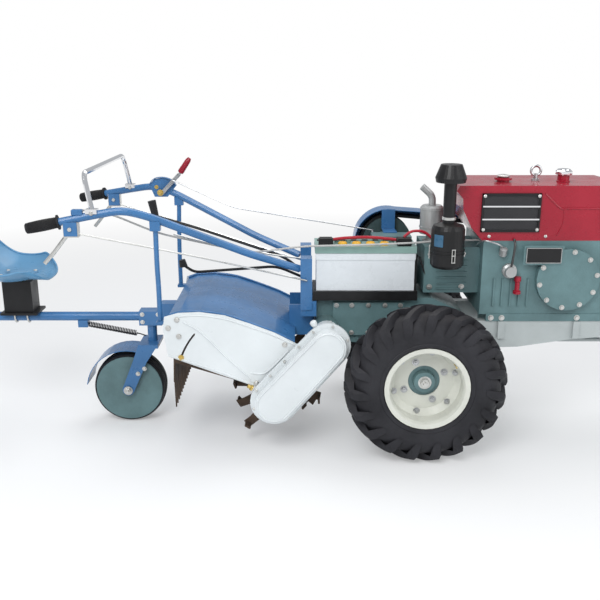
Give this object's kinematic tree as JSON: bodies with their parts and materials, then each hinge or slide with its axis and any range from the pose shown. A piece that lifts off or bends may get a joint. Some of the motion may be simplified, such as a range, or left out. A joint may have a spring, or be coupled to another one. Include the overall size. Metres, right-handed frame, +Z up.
{
  "type": "walking tractor with rotary tiller and seat",
  "caption": "Walking tractor with a diesel engine, lugged tyres, rotary tiller under a white and blue cover, pan seat and tail wheel.",
  "frame": {"origin": "on the floor, midway along and across the whole machine", "axes": "+X is the way it drives, +Y is to its left, +Z is up"},
  "size_m": [3.14, 0.955, 1.176],
  "materials": {
    "blue": "gloss blue paint",
    "white": "satin white paint",
    "grey_green": "satin grey-green paint on castings",
    "engine_paint": "satin grey-green paint",
    "dark_green": "dark green-grey machined casting",
    "red": "gloss red paint",
    "light_grey": "satin light grey paint",
    "rim": "cream-grey paint",
    "tyre": "matt black tyre rubber",
    "rubber": "matt black rubber",
    "black": "satin black paint",
    "plastic": "pale translucent battery plastic",
    "lid": "grey-green battery plastic",
    "cable": "black cable sheath",
    "lead": "red cable sheath",
    "chrome": "bright chrome",
    "steel": "bright bare steel",
    "rust": "dark rusty steel"
  },
  "bodies": {
    "chassis": {"gearbox": "grey_green", "clutch_pulley": "dark_green", "flywheel": "dark_green", "drive_belts": "rubber", "belt_guard": "blue", "left_frame_rail": "light_grey", "right_frame_rail": "light_grey", "front_bumper": "light_grey", "engine_block": "engine_paint", "engine_hood": "red", "radiator_grille": "black", "fuel_cap": "chrome", "lifting_eye": "steel", "air_cleaner": "black", "air_precleaner": "black", "muffler": "steel", "battery": "plastic", "battery_lid": "lid", "battery_tray": "black", "battery_lead": "lead", "handle_frame": "blue", "left_handlebar": "blue", "right_handlebar": "blue", "left_grip": "rubber", "right_grip": "rubber", "handle_hoop": "chrome", "left_steering_lever": "grey_green", "right_steering_lever": "grey_green", "clutch_quadrant": "blue", "clutch_lever": "steel", "clutch_rod": "steel", "gear_lever": "black", "tiller_lever": "black", "throttle_cable": "cable", "left_handle_stay": "blue", "right_handle_stay": "blue", "left_tiller_side": "white", "right_tiller_side": "white", "tiller_hood": "blue", "tiller_frame": "blue", "chain_case": "white", "rotor_bearing": "grey_green", "seat_beam": "blue", "seat_bracket": "black", "leg_spring": "black", "seat": "blue"},
    "left_wheel": {"left_tyre": "tyre", "left_rim": "rim", "left_hub": "grey_green"},
    "right_wheel": {"right_tyre": "tyre", "right_rim": "rim", "right_hub": "grey_green"},
    "rotor": {"tiller_rotor": "steel"},
    "rear_guard": {"rear_cover": "rust"},
    "tail_steering": {"tail_fork": "blue"},
    "tail_wheel": {"tail_tyre": "tyre", "tail_rim": "grey_green"},
    "stand": {"front_stand": "light_grey"}
  },
  "joints": [
    {"name": "left_wheel_spin", "type": "hinge", "parent": "chassis", "child": "left_wheel", "pos_m": [0.43, 0.395, 0.325], "axis": [0, 1, 0], "continuous": true},
    {"name": "right_wheel_spin", "type": "hinge", "parent": "chassis", "child": "right_wheel", "pos_m": [0.43, -0.395, 0.325], "axis": [0, 1, 0], "continuous": true},
    {"name": "rotor_spin", "type": "hinge", "parent": "chassis", "child": "rotor", "pos_m": [-0.174, 0, 0.228], "axis": [0, 1, 0], "continuous": true},
    {"name": "rear_guard_lift", "type": "hinge", "parent": "chassis", "child": "rear_guard", "pos_m": [-0.247, 0, 0.3], "axis": [0, 1, 0], "range_deg": [0, 20]},
    {"name": "tail_swivel", "type": "hinge", "parent": "chassis", "child": "tail_steering", "pos_m": [-0.725, 0, 0.372], "axis": [0, 0, 1], "range_deg": [-30, 30]},
    {"name": "tail_wheel_spin", "type": "hinge", "parent": "tail_steering", "child": "tail_wheel", "pos_m": [-0.832, 0, 0.16], "axis": [0, 1, 0], "continuous": true},
    {"name": "stand_fold", "type": "hinge", "parent": "chassis", "child": "stand", "pos_m": [1.33, 0, 0.405], "axis": [0, -1, 0], "range_deg": [0, 85]}
  ]
}
